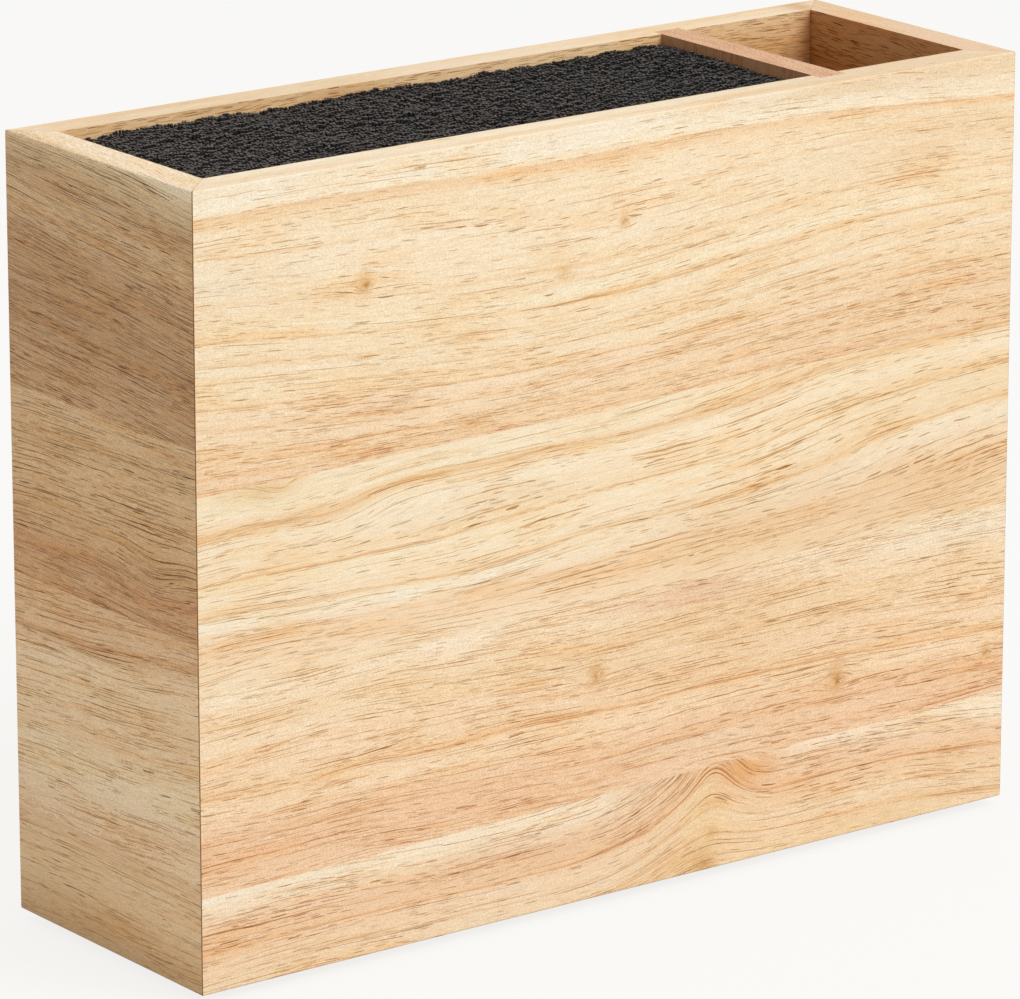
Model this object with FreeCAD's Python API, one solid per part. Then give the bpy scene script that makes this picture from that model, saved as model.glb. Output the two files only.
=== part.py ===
import FreeCAD, Part
import math
import os

# Universal knife block: a tall narrow box of rubberwood boards, mitred at the corners, with
# a divider near its right end. Left of the divider stands a lift-out insert of soft black
# bristles, which any knife is pushed down into. Right of it is an open compartment for
# scissors and utensils.
# Millimetres. +Z is up, +X to the right along the front, +Y from the front to the back.
# The origin is on the worktop, below the middle of the box.

# the box
case_width = 318.0
case_depth = 100.5
case_height = 250.0
wall = 12.0
end_arris_radius = 0.4
rim_arris_radius = 0.4
bottom_arris_radius = 0.8

# each panel is edge-glued from four staves: these are the lowest three, and the top one is
# what is left of the height
front_stave_heights = (33.8, 64.0, 61.5)
back_stave_heights = (44.0, 66.0, 58.0)
left_stave_heights = (35.0, 75.5, 60.5)
right_stave_heights = (58.0, 47.0, 71.0)
# the front panel was sawn a little askew, so its glue lines rise to the right
front_glue_line_rise_deg = 1.0

# loose tongues glued in the mitres, stopped short of the rim so that they don't show
tongue_thickness = 3.0
tongue_width = 8.0
tongue_from_inner_corner = 6.5
tongue_below_rim = 18.0
tongue_above_base = 4.0
tongue_clearance = 0.1

# the divider, let into a housing in the front and back panels
divider_thickness = 10.0
divider_housing_depth = 4.0
divider_clearance = 0.1
compartment_width = 52.0

# the base, let into a rebate round the bottom of the four panels
base_thickness = 10.0
base_rebate = 6.0
base_clearance = 0.2

# push-in rubber feet
foot_radius = 6.5
foot_height = 3.0
foot_edge_radius = 0.8
foot_stem_radius = 2.5
foot_stem_length = 6.0
foot_hole_clearance = 0.1
foot_hole_spare_depth = 1.0
foot_inset = 22.0

# the bristle insert: a tray with a cell for the fused foot of each bundle of bristles
insert_clearance = 0.8
tray_floor = 3.0
tray_kerb = 1.6
tray_rib = 1.6
tray_height = 9.0
tray_corner_radius = 1.2
bundles_along = 6
bundle_foot_clearance = 0.15
bundle_spacing = 0.3
bristles_below_rim = 3.0

# levels and faces that the pieces share
case_bottom = foot_height
base_top = case_bottom + base_thickness
rim = case_bottom + case_height
left_outside = -case_width / 2
right_outside = case_width / 2
front_outside = -case_depth / 2
back_outside = case_depth / 2
left_inside = left_outside + wall
right_inside = right_outside - wall
front_inside = front_outside + wall
back_inside = back_outside - wall
divider_right = right_inside - compartment_width
divider_left = divider_right - divider_thickness
insert_left = left_inside + insert_clearance
insert_right = divider_left - insert_clearance
insert_front = front_inside + insert_clearance
insert_back = back_inside - insert_clearance
tray_floor_top = base_top + tray_floor
tray_top = base_top + tray_height
beyond = 1.0


def block(x_range, y_range, z_range):
    """A rectangular solid between two values on each axis."""
    size = [high - low for low, high in (x_range, y_range, z_range)]
    return Part.makeBox(*size, FreeCAD.Vector(x_range[0], y_range[0], z_range[0]))


def prism(corners, z_range):
    """An upright solid on a plan outline."""
    points = [FreeCAD.Vector(x, y, z_range[0]) for x, y in corners]
    face = Part.Face(Part.makePolygon(points + points[:1]))
    return face.extrude(FreeCAD.Vector(0, 0, z_range[1] - z_range[0]))


def one_solid(shape):
    """The solid that a cut or a fuse has left, with no seams across its faces."""
    return shape.removeSplitter().Solids[0]


def level_edges(shape, z):
    """The edges that lie at one height."""
    return [e for e in shape.Edges if max(abs(e.BoundBox.ZMin - z), abs(e.BoundBox.ZMax - z)) < 1e-6]


def upright_edges(shape):
    """The edges that run straight up."""
    return [e for e in shape.Edges if max(e.BoundBox.XLength, e.BoundBox.YLength) < 1e-6]


def eased_outside():
    """The outside of the box with its arrises sanded off."""
    outside = block((left_outside, right_outside), (front_outside, back_outside), (case_bottom, rim))
    outside = outside.makeFillet(end_arris_radius, upright_edges(outside))
    outside = outside.makeFillet(rim_arris_radius, level_edges(outside, rim))
    return outside.makeFillet(bottom_arris_radius, level_edges(outside, case_bottom))


def base_recess():
    """The rebate for the base, as a block to take out of the panels."""
    return block(
        (left_outside + base_rebate, right_outside - base_rebate),
        (front_outside + base_rebate, back_outside - base_rebate),
        (case_bottom - beyond, base_top),
    )


def divider_housing():
    """The two housings for the divider, as one block to take out of the panels."""
    reach = divider_housing_depth + divider_clearance
    return block(
        (divider_left - divider_clearance, divider_right + divider_clearance),
        (front_inside - reach, back_inside + reach),
        (base_top - beyond, rim + beyond),
    )


def tongue(side, face, slack=0.0):
    """The tongue across one mitre: side is -1 for left or 1 for right, and face is -1 for
    front or 1 for back. With slack all round it is the groove."""
    half_thickness = tongue_thickness / 2 + slack
    half_width = tongue_width / 2 + slack
    piece = block(
        (-half_thickness, half_thickness),
        (-half_width, half_width),
        (base_top + tongue_above_base - slack, rim - tongue_below_rim + slack),
    )
    piece.rotate(FreeCAD.Vector(0, 0, 0), FreeCAD.Vector(0, 0, 1), 45 * side * face)
    out = tongue_from_inner_corner / math.sqrt(2)
    inner_x = right_inside if side > 0 else left_inside
    inner_y = back_inside if face > 0 else front_inside
    piece.translate(FreeCAD.Vector(inner_x + side * out, inner_y + face * out, 0))
    return piece


def panel(plan):
    """One mitred wall of the box on its plan outline, before it is divided into staves."""
    board = eased_outside().common(prism(plan, (case_bottom, rim)))
    board = board.cut(base_recess())
    board = board.cut(divider_housing())
    for side in (-1, 1):
        for face in (-1, 1):
            board = board.cut(tongue(side, face, tongue_clearance))
    return one_solid(board)


def below_glue_line(level, rise_deg):
    """All the space below a glue line, which rises to the right."""
    reach = case_width + case_height
    space = block((-reach, reach), (-reach, reach), (level - reach, level))
    space.rotate(FreeCAD.Vector(0, 0, level), FreeCAD.Vector(0, -1, 0), rise_deg)
    return space


def staves(board, heights, rise_deg=0.0):
    """The staves that a panel is glued up from, from the lowest to the top one."""
    pieces = []
    level = case_bottom
    for height in heights:
        level = level + height
        below = below_glue_line(level, rise_deg)
        pieces.append(one_solid(board.common(below)))
        board = board.cut(below)
    pieces.append(one_solid(board))
    return pieces


def front_panel():
    plan = (
        (left_outside, front_outside),
        (right_outside, front_outside),
        (right_inside, front_inside),
        (left_inside, front_inside),
    )
    return staves(panel(plan), front_stave_heights, front_glue_line_rise_deg)


def back_panel():
    plan = (
        (left_outside, back_outside),
        (left_inside, back_inside),
        (right_inside, back_inside),
        (right_outside, back_outside),
    )
    return staves(panel(plan), back_stave_heights)


def left_panel():
    plan = (
        (left_outside, front_outside),
        (left_inside, front_inside),
        (left_inside, back_inside),
        (left_outside, back_outside),
    )
    return staves(panel(plan), left_stave_heights)


def right_panel():
    plan = (
        (right_outside, front_outside),
        (right_outside, back_outside),
        (right_inside, back_inside),
        (right_inside, front_inside),
    )
    return staves(panel(plan), right_stave_heights)


def divider():
    """The board between the bristles and the compartment, flush with the rim."""
    return block(
        (divider_left, divider_right),
        (front_inside - divider_housing_depth, back_inside + divider_housing_depth),
        (base_top, rim),
    )


def foot_places():
    """The name and the centre of each foot."""
    x = right_outside - foot_inset
    y = back_outside - foot_inset
    return {
        "front_left": FreeCAD.Vector(-x, -y, 0),
        "front_right": FreeCAD.Vector(x, -y, 0),
        "back_left": FreeCAD.Vector(-x, y, 0),
        "back_right": FreeCAD.Vector(x, y, 0),
    }


def foot(place):
    """A rubber foot: a round pad with a stem that is pushed up into the base."""
    pad = Part.makeCylinder(foot_radius, foot_height)
    pad = pad.makeFillet(foot_edge_radius, level_edges(pad, 0.0))
    stem = Part.makeCylinder(foot_stem_radius, foot_stem_length, FreeCAD.Vector(0, 0, foot_height))
    piece = one_solid(pad.fuse(stem))
    piece.translate(place)
    return piece


def base():
    """The base board, with a blind hole for the stem of each foot."""
    slack = base_rebate + base_clearance
    board = block(
        (left_outside + slack, right_outside - slack),
        (front_outside + slack, back_outside - slack),
        (case_bottom, base_top),
    )
    hole_radius = foot_stem_radius + foot_hole_clearance
    hole_depth = foot_stem_length + foot_hole_spare_depth
    for place in foot_places().values():
        low = place + FreeCAD.Vector(0, 0, case_bottom - beyond)
        board = board.cut(Part.makeCylinder(hole_radius, hole_depth + beyond, low))
    return one_solid(board)


def bundle_bounds(column, row, outer, inner):
    """The plan of one bundle's share of the insert, less a margin at the insert's outside and
    a margin towards the next bundle."""
    pitch = (insert_right - insert_left) / bundles_along
    left = insert_left + column * pitch + (outer if column == 0 else inner)
    right = insert_left + (column + 1) * pitch - (outer if column == bundles_along - 1 else inner)
    middle = (insert_front + insert_back) / 2
    if row == "front":
        return (left, right), (insert_front + outer, middle - inner)
    return (left, right), (middle + inner, insert_back - outer)


def tray():
    """The insert's tray: a floor, a kerb, and ribs that part it into cells."""
    whole = block((insert_left, insert_right), (insert_front, insert_back), (base_top, tray_top))
    whole = whole.makeFillet(tray_corner_radius, upright_edges(whole))
    for row in ("front", "back"):
        for column in range(bundles_along):
            x_range, y_range = bundle_bounds(column, row, tray_kerb, tray_rib / 2)
            whole = whole.cut(block(x_range, y_range, (tray_floor_top, tray_top + beyond)))
    return one_solid(whole)


def bristle_bundle(column, row):
    """The space that one bundle of bristles fills: its fused foot in a cell of the tray, and
    the bristles, which spread over the ribs and the kerb."""
    outer_slack = tray_kerb + bundle_foot_clearance
    inner_slack = tray_rib / 2 + bundle_foot_clearance
    x_range, y_range = bundle_bounds(column, row, outer_slack, inner_slack)
    fused_foot = block(x_range, y_range, (tray_floor_top, tray_top))
    x_range, y_range = bundle_bounds(column, row, 0.0, bundle_spacing / 2)
    bristles = block(x_range, y_range, (tray_top, rim - bristles_below_rim))
    return one_solid(fused_foot.fuse(bristles))


def save(name, shape):
    shape.exportStep("parts/" + name + ".step")


os.makedirs("parts", exist_ok=True)
panels = {"front": front_panel(), "back": back_panel(), "left": left_panel(), "right": right_panel()}
for panel_name, pieces in panels.items():
    for stave_name, piece in zip(("bottom", "lower", "upper", "top"), pieces):
        save(panel_name + "_stave_" + stave_name, piece)
for side_name, side in (("left", -1), ("right", 1)):
    for face_name, face in (("front", -1), ("back", 1)):
        save("mitre_tongue_" + face_name + "_" + side_name, tongue(side, face))
save("divider", divider())
save("base", base())
for foot_name, place in foot_places().items():
    save("foot_" + foot_name, foot(place))
save("insert_tray", tray())
for row in ("front", "back"):
    for column in range(bundles_along):
        save("bristle_bundle_" + row + "_" + str(column + 1), bristle_bundle(column, row))
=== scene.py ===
import math
import random

import bpy
import numpy as np
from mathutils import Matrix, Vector, noise


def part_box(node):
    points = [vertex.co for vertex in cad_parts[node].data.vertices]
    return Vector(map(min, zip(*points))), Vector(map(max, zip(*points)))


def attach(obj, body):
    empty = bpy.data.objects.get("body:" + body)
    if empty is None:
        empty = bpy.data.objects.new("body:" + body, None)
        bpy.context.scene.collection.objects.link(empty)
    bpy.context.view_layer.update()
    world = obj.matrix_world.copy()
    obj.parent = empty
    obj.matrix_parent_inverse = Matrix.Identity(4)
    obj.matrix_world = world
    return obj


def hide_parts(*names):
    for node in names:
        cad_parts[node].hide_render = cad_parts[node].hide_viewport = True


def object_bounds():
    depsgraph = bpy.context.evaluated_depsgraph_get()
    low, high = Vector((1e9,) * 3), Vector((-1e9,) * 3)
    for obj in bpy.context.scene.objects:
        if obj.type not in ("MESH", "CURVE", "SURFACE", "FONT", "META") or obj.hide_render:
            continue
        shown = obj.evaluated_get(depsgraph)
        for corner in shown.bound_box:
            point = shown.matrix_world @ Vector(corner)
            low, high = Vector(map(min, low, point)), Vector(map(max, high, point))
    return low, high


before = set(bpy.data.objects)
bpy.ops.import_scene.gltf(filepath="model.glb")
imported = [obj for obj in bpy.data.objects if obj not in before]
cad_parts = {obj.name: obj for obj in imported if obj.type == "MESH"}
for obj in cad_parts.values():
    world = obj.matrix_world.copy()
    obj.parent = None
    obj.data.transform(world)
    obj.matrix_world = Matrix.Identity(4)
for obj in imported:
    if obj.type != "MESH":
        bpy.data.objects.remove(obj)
cad_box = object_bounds()
bpy.ops.object.select_all(action="DESELECT")


# Studio
# A long lens looks down a little on the front left corner of the box, which
# stands on a pale table under one wide lamp and an even pale sky.

CAMERA_PLACE = Vector((-1.259, -1.668, 0.723))
CAMERA_AIM = Vector((0.5774, 0.768, -0.2771))
LENS = 242.6
SKY_LEVEL = 0.68
LAMP_AIM = Vector((-0.36, 0.65, -0.67))
LAMP_TARGET = Vector((0.0, 0.0, 0.12))
LAMP_DISTANCE = 4.0
LAMP_WIDTH = 2.4
LAMP_POWER = 84.0
TABLE_SIDE = 16.0
TABLE_TOP = -0.0002
TABLE_PAPER = (0.6, 0.6, 0.588, 1.0)
SEEN_PAPER = (0.947, 0.939, 0.922, 1.0)
SEEN_PAPER_GLOW = 0.885
SEEN_PAPER_SHADE = (0.12, 0.12, 0.118, 1.0)

bpy.ops.object.camera_add(location=CAMERA_PLACE, rotation=CAMERA_AIM.to_track_quat("-Z", "Y").to_euler())
camera = bpy.context.object
camera.data.lens = LENS
camera.data.sensor_width = 36.0
bpy.context.scene.camera = camera
bpy.context.scene.view_settings.view_transform = "Standard"

bpy.ops.object.light_add(
    type="AREA",
    location=LAMP_TARGET - LAMP_AIM.normalized() * LAMP_DISTANCE,
    rotation=LAMP_AIM.to_track_quat("-Z", "Y").to_euler(),
)
lamp = bpy.context.object
lamp.data.shape = "DISK"
lamp.data.size = LAMP_WIDTH
lamp.data.energy = LAMP_POWER

sky = bpy.data.worlds.new("pale_sky")
bpy.context.scene.world = sky
sky.use_nodes = True
sky_light = sky.node_tree.nodes["Background"]
sky_light.inputs["Color"].default_value = (1.0, 1.0, 1.0, 1.0)
sky_light.inputs["Strength"].default_value = SKY_LEVEL

bpy.ops.mesh.primitive_plane_add(size=TABLE_SIDE, location=(0, 0, TABLE_TOP))
table = bpy.context.object
table.name = "studio_table"
bpy.ops.object.transform_apply(location=True, rotation=True, scale=True)
bpy.ops.object.mode_set(mode="EDIT")
bpy.ops.mesh.subdivide(number_cuts=3)
bpy.ops.object.mode_set(mode="OBJECT")

# The table lights the box as plain paper would, and is itself seen almost white.
paper = bpy.data.materials.new("table_paper")
paper.use_nodes = True
nodes, links = paper.node_tree.nodes, paper.node_tree.links
nodes.clear()
lit_paper = nodes.new("ShaderNodeBsdfDiffuse")
lit_paper.inputs["Color"].default_value = TABLE_PAPER
seen_light = nodes.new("ShaderNodeEmission")
seen_light.inputs["Color"].default_value = SEEN_PAPER
seen_light.inputs["Strength"].default_value = SEEN_PAPER_GLOW
seen_shade = nodes.new("ShaderNodeBsdfDiffuse")
seen_shade.inputs["Color"].default_value = SEEN_PAPER_SHADE
seen = nodes.new("ShaderNodeAddShader")
links.new(seen_light.outputs[0], seen.inputs[0])
links.new(seen_shade.outputs[0], seen.inputs[1])
ray = nodes.new("ShaderNodeLightPath")
choice = nodes.new("ShaderNodeMixShader")
links.new(ray.outputs["Is Camera Ray"], choice.inputs[0])
links.new(lit_paper.outputs[0], choice.inputs[1])
links.new(seen.outputs[0], choice.inputs[2])
paper_out = nodes.new("ShaderNodeOutputMaterial")
links.new(choice.outputs[0], paper_out.inputs["Surface"])
table.data.materials.append(paper)
bpy.ops.object.select_all(action="DESELECT")


# Front panel
# Four rubberwood staves glued edge to edge, sanded and oiled, with mitred
# ends. The figure of each stave is its own, so each gets its own finish.

CASE_HALF_LENGTH, CASE_HALF_DEPTH, RIM = cad_box[1]
front_low, front_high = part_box("front_stave_top")
WALL = front_high.y - front_low.y
HAIR_BREADTH = 0.0003
PANELS = ("front", "back", "left", "right")


def stain(red, green, blue):
    """A colour as Blender takes it, from the 0 to 255 values of a paint card."""
    shades = [value / 255 for value in (red, green, blue)]
    return (*[s / 12.92 if s <= 0.04045 else ((s + 0.055) / 1.055) ** 2.4 for s in shades], 1.0)


def grey(level):
    return (level, level, level, 1.0)


def plug(tree, socket, value):
    """Fills a socket of a finish, or joins another node's output to it."""
    if isinstance(value, bpy.types.NodeSocket):
        tree.links.new(value, socket)
    else:
        socket.default_value = value


def reckon(tree, what, *values, clamp=False):
    step = tree.nodes.new("ShaderNodeMath")
    step.operation = what
    step.use_clamp = clamp
    for socket, value in zip(step.inputs, values):
        plug(tree, socket, value)
    return step.outputs[0]


def dye(tree, amount, under, over, blend="MIX"):
    mix = tree.nodes.new("ShaderNodeMix")
    mix.data_type = "RGBA"
    mix.blend_type = blend
    plug(tree, mix.inputs[0], amount)
    plug(tree, mix.inputs[6], under)
    plug(tree, mix.inputs[7], over)
    return mix.outputs[2]


def place(tree, *values):
    join = tree.nodes.new("ShaderNodeCombineXYZ")
    for socket, value in zip(join.inputs, values):
        plug(tree, socket, value)
    return join.outputs[0]


def parted(tree, vector):
    """The three values that a vector is made of."""
    split = tree.nodes.new("ShaderNodeSeparateXYZ")
    tree.links.new(vector, split.inputs[0])
    return split.outputs


def object_spot(tree):
    return tree.nodes.new("ShaderNodeTexCoord").outputs["Object"]


def stretched(tree, vector, scale, shift=(0.0, 0.0, 0.0)):
    """A spot of a board on a scale of its own, which says how many clouds or marks there are
    to a metre along the grain, across it, and down from the face."""
    step = tree.nodes.new("ShaderNodeVectorMath")
    step.operation = "MULTIPLY_ADD"
    plug(tree, step.inputs[0], vector)
    step.inputs[1].default_value = scale
    step.inputs[2].default_value = shift
    return step.outputs[0]


def cloud(tree, vector, detail, rough, flat=False):
    """A smooth random shade, mostly from 0.3 to 0.7."""
    mist = tree.nodes.new("ShaderNodeTexNoise")
    mist.noise_dimensions = "2D" if flat else "3D"
    plug(tree, mist.inputs["Vector"], vector)
    mist.inputs["Scale"].default_value = 1.0
    mist.inputs["Detail"].default_value = detail
    mist.inputs["Roughness"].default_value = rough
    return mist.outputs["Fac"]


def between(tree, value, low, high, start=0.0, end=1.0, smooth=False):
    """Goes from start to end as the value goes from low to high."""
    step = tree.nodes.new("ShaderNodeMapRange")
    step.interpolation_type = "SMOOTHSTEP" if smooth else "LINEAR"
    plug(tree, step.inputs["Value"], value)
    step.inputs["From Min"].default_value = low
    step.inputs["From Max"].default_value = high
    plug(tree, step.inputs["To Min"], start)
    plug(tree, step.inputs["To Max"], end)
    return step.outputs["Result"]


def ramp(tree, value, stops):
    """A colour for each height in stops, which run upwards in millimetres."""
    low, high = stops[0][0], stops[-1][0]
    scale = tree.nodes.new("ShaderNodeValToRGB")
    first, last = scale.color_ramp.elements
    first.position, last.position = 0.0, 1.0
    first.color, last.color = stops[0][1], stops[-1][1]
    for height, colour in stops[1:-1]:
        stop = scale.color_ramp.elements.new((height - low) / (high - low))
        stop.color = colour
    plug(tree, scale.inputs[0], between(tree, value, low / 1000, high / 1000))
    return scale.outputs[0]


def hump(tree, spot, at, reach):
    """1 at a spot of the board, falling softly to 0 beyond its reach; both in millimetres.
    With it come the way from there, in reaches, and the square of its length."""
    scale = (1000 / reach[0], 1000 / reach[1], 0.0)
    shift = (-at[0] / reach[0], -at[1] / reach[1], 0.0)
    way = stretched(tree, spot, scale, shift)
    square = tree.nodes.new("ShaderNodeVectorMath")
    square.operation = "DOT_PRODUCT"
    tree.links.new(way, square.inputs[0])
    tree.links.new(way, square.inputs[1])
    far = square.outputs["Value"]
    return reckon(tree, "EXPONENT", reckon(tree, "MULTIPLY", far, -1.0)), way, far


def board_axes(tree, panel):
    """Along the grain, across it, and the depth below the outer face."""
    x, y, z = parted(tree, object_spot(tree))
    if panel == "front":
        return x, z, reckon(tree, "ADD", y, CASE_HALF_DEPTH)
    if panel == "back":
        return x, z, reckon(tree, "SUBTRACT", CASE_HALF_DEPTH, y)
    if panel == "left":
        return y, z, reckon(tree, "ADD", x, CASE_HALF_LENGTH)
    if panel == "right":
        return y, z, reckon(tree, "SUBTRACT", CASE_HALF_LENGTH, x)
    if panel == "upright":
        return z, y, x
    return x, y, z


def on_rim(tree, across, below=0.0, above=1.0):
    """Goes from below to above in the last hair's breadth of a panel's height."""
    return between(tree, across, RIM - HAIR_BREADTH, RIM - HAIR_BREADTH / 3, below, above)


def throw(tree, chance, times, low, high):
    """Another random value from low to high, drawn from one that runs from 0 to 1."""
    again = reckon(tree, "FRACT", reckon(tree, "MULTIPLY", chance, times))
    return between(tree, again, 0.0, 1.0, low, high)


def dashes(tree, spot, scale, seed, share, size):
    """Thin marks along the grain, pointed at both ends, as dark as 1: scale gives how many
    fit in a metre each way, share how many of them are there, and size how fat they are."""
    cells = tree.nodes.new("ShaderNodeTexVoronoi")
    cells.voronoi_dimensions = "2D"
    cells.inputs["Scale"].default_value = 1.0
    drift = (seed * 7.3, seed * 5.1, 0.0)
    tree.links.new(stretched(tree, spot, (*scale, 0.0), drift), cells.inputs["Vector"])
    dice = tree.nodes.new("ShaderNodeSeparateColor")
    tree.links.new(cells.outputs["Color"], dice.inputs[0])
    chance = dice.outputs[2]
    kept = reckon(tree, "GREATER_THAN", share, chance)
    length = throw(tree, chance, 137.7, size * 0.5, size)
    mark = reckon(tree, "SUBTRACT", length, cells.outputs["Distance"])
    mark = reckon(tree, "DIVIDE", mark, size * 0.2, clamp=True)
    depth = throw(tree, chance, 291.3, 0.4, 1.0)
    return reckon(tree, "MULTIPLY", reckon(tree, "MULTIPLY", mark, depth), kept)


RING_SWAY = (5.0, 20.0, 12.0)
RING_FEATHER = (40.0, 300.0, 0.0)
FEATHER_DEPTH = 0.0011
RING_LEAN = 0.8


def bent_rings(tree, along, across, depth, drift, slope, wander, bends):
    """The height in the log, in metres, at which each spot of a board grew: its colours,
    lines and pores all follow it. The rings lean back into the board, slope along it, wander
    by some millimetres and rise in a hump at each of the bends."""
    spot = place(tree, along, across, depth)
    ring = reckon(tree, "MULTIPLY_ADD", depth, RING_LEAN, across)
    ring = reckon(tree, "MULTIPLY_ADD", along, -slope, ring)
    sway = cloud(tree, stretched(tree, spot, RING_SWAY, drift), 2.0, 0.45)
    ring = reckon(tree, "MULTIPLY_ADD", sway, wander * 0.004, ring)
    ring = reckon(tree, "ADD", ring, -wander * 0.002)
    for at, reach, lift in bends:
        ring = reckon(tree, "MULTIPLY_ADD", hump(tree, spot, at, reach)[0], -lift / 1000, ring)
    return ring


PIN_LENGTH = 2.2
PIN_PUSH = 0.9
PIN_SOFTNESS = 0.45


def pinned(tree, ring, spot, pins):
    """The rings pushed aside by pin knots, and with them the brown smudge round each knot and
    its heart. A pin has a place and a size, both in millimetres."""
    smudges, hearts = [], []
    for at, size in pins:
        way, far = hump(tree, spot, at, (PIN_LENGTH * size, size))[1:]
        push = reckon(tree, "DIVIDE", parted(tree, way)[1], reckon(tree, "ADD", far, PIN_SOFTNESS))
        ring = reckon(tree, "MULTIPLY_ADD", push, -PIN_PUSH * size / 1000, ring)
        beside = (at[0] - 0.4 * size, at[1] + 0.5 * size)
        smudges.append(hump(tree, spot, beside, (1.7 * size, 2.4 * size))[0])
        hearts.append(hump(tree, spot, at, (1.1 * size, 0.8 * size))[0])
    return ring, smudges, hearts


def feathered(tree, ring, along, drift):
    """The rings with the small ragged edges that the fibres give them."""
    spot = place(tree, along, ring, 0.0)
    feather = cloud(tree, stretched(tree, spot, RING_FEATHER, drift), 3.0, 0.6, flat=True)
    return reckon(tree, "MULTIPLY_ADD", reckon(tree, "SUBTRACT", feather, 0.5), FEATHER_DEPTH, ring)


FINE_STREAKS = (12.0, 900.0, 0.0)
UNMARKED_WOOD = (1.085, 1.125, 1.165, 1.0)
PALE_CLOUD = (1.01, 1.04, 1.10, 1.0)
WARM_CLOUD = stain(254, 236, 210)
STREAK = stain(250, 228, 196)


def plain_wood(tree, ring, fibre_spot, patches, drift, rings):
    """The wood between the marks: its colours from edge to edge, clouded along the grain. The
    marks darken the whole board later, so it starts paler than its colours are given."""
    colour = dye(tree, 1.0, ramp(tree, ring, rings), UNMARKED_WOOD, "MULTIPLY")
    colour = dye(tree, between(tree, patches, 0.5, 0.75, 0.0, 0.7), colour, WARM_CLOUD, "MULTIPLY")
    colour = dye(tree, between(tree, patches, 0.5, 0.25, 0.0, 0.8), colour, PALE_CLOUD, "MULTIPLY")
    streaks = cloud(tree, stretched(tree, fibre_spot, FINE_STREAKS, drift), 3.0, 0.6, flat=True)
    return dye(tree, between(tree, streaks, 0.5, 0.75, 0.0, 0.5), colour, STREAK, "MULTIPLY")


BLUSH_MIST = (25.0, 260.0, 0.0)


def blushed(tree, colour, spot, fibre_spot, drift, blushes):
    """Patches of another colour, each with its place, its reach, its tint and its strength."""
    mist = cloud(tree, stretched(tree, fibre_spot, BLUSH_MIST, drift), 3.0, 0.6, flat=True)
    mist = between(tree, mist, 0.25, 0.7, 0.35, 1.3)
    for at, reach, tint, strength in blushes:
        patch = reckon(tree, "MULTIPLY", hump(tree, spot, at, reach)[0], mist)
        patch = reckon(tree, "MULTIPLY", patch, strength, clamp=True)
        colour = dye(tree, patch, colour, tint)
    return colour


LINE_FADES = (24.0, 90.0, 0.0)
EDGE_REACH = 0.35
GLOW_BELOW = 1.0
GLOW_ABOVE = 3.0
CLEAR_BEYOND = 20
LINE_GLOW = stain(253, 226, 186)
LINE_EDGE = stain(214, 174, 122)


def ring_lines(tree, colour, ring, fibre_spot, drift, lines):
    """The lines where a year's growth ends, each with its height and its strength: a thin
    dark edge in a soft glow. The glow comes with the colour, because pores crowd in it."""
    clear = grey(0.0)
    edge = [(lines[0][0] - CLEAR_BEYOND, clear)]
    glow = edge[:]
    for height, strength in lines:
        full = (height, grey(strength))
        edge += [(height - EDGE_REACH, clear), full, (height + EDGE_REACH, clear)]
        glow += [(height - GLOW_BELOW, clear), full, (height + GLOW_ABOVE, clear)]
    edge.append((lines[-1][0] + CLEAR_BEYOND, clear))
    glow.append((lines[-1][0] + CLEAR_BEYOND, clear))
    soft = ramp(tree, ring, glow)
    colour = dye(tree, reckon(tree, "MULTIPLY", soft, 0.4), colour, LINE_GLOW, "MULTIPLY")
    fade = cloud(tree, stretched(tree, fibre_spot, LINE_FADES, drift), 3.0, 0.6, flat=True)
    fade = between(tree, fade, 0.36, 0.6, 0.15, 1.0)
    sharp = reckon(tree, "MULTIPLY", ramp(tree, ring, edge), fade)
    return dye(tree, sharp, colour, LINE_EDGE, "MULTIPLY"), soft


HAIR_LINES = (16.0, 2300.0)
FAINT_PORES = (120.0, 3000.0)
BOLD_PORES = (105.0, 2000.0)
PORE_INK = stain(184, 138, 60)


def pored(tree, colour, fibre_spot, seed, rich, longs, ink):
    """Long hair lines, faint pores and bold ones, more of them where the wood is rich in
    them. With the colour come the grooves that they leave."""
    hairs = dashes(tree, fibre_spot, HAIR_LINES, seed + 0.31, reckon(tree, "MULTIPLY", rich, longs), 0.32)
    faint = dashes(tree, fibre_spot, FAINT_PORES, seed + 0.17, reckon(tree, "MULTIPLY", rich, 0.33), 0.38)
    bold = dashes(tree, fibre_spot, BOLD_PORES, seed, reckon(tree, "MULTIPLY", rich, 0.15), 0.4)
    for marks, strength in ((hairs, min(1.0, 0.7 + 0.25 * longs)), (faint, 0.8), (bold, 0.85)):
        colour = dye(tree, reckon(tree, "MULTIPLY", marks, strength), colour, ink, "MULTIPLY")
    return colour, reckon(tree, "MAXIMUM", bold, faint)


KNOT_SPECKS = (700.0, 900.0, 1100.0)
KNOT_SMUDGE = stain(229, 180, 118)
KNOT_HEART = stain(198, 142, 80)


def knotted(tree, colour, spot, drift, smudges, hearts):
    """The brown smudge round each pin knot, and its speckled heart."""
    for smudge, heart in zip(smudges, hearts):
        colour = dye(tree, reckon(tree, "MULTIPLY", smudge, 0.65), colour, KNOT_SMUDGE)
        specks = cloud(tree, stretched(tree, spot, KNOT_SPECKS, drift), 2.0, 0.6)
        specks = between(tree, specks, 0.42, 0.58, 0.2, 1.0)
        colour = dye(tree, reckon(tree, "MULTIPLY", heart, specks), colour, KNOT_HEART)
    return colour


SANDING = (2500.0, 3100.0, 3100.0)
SANDING_DEPTH = 0.15


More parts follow.
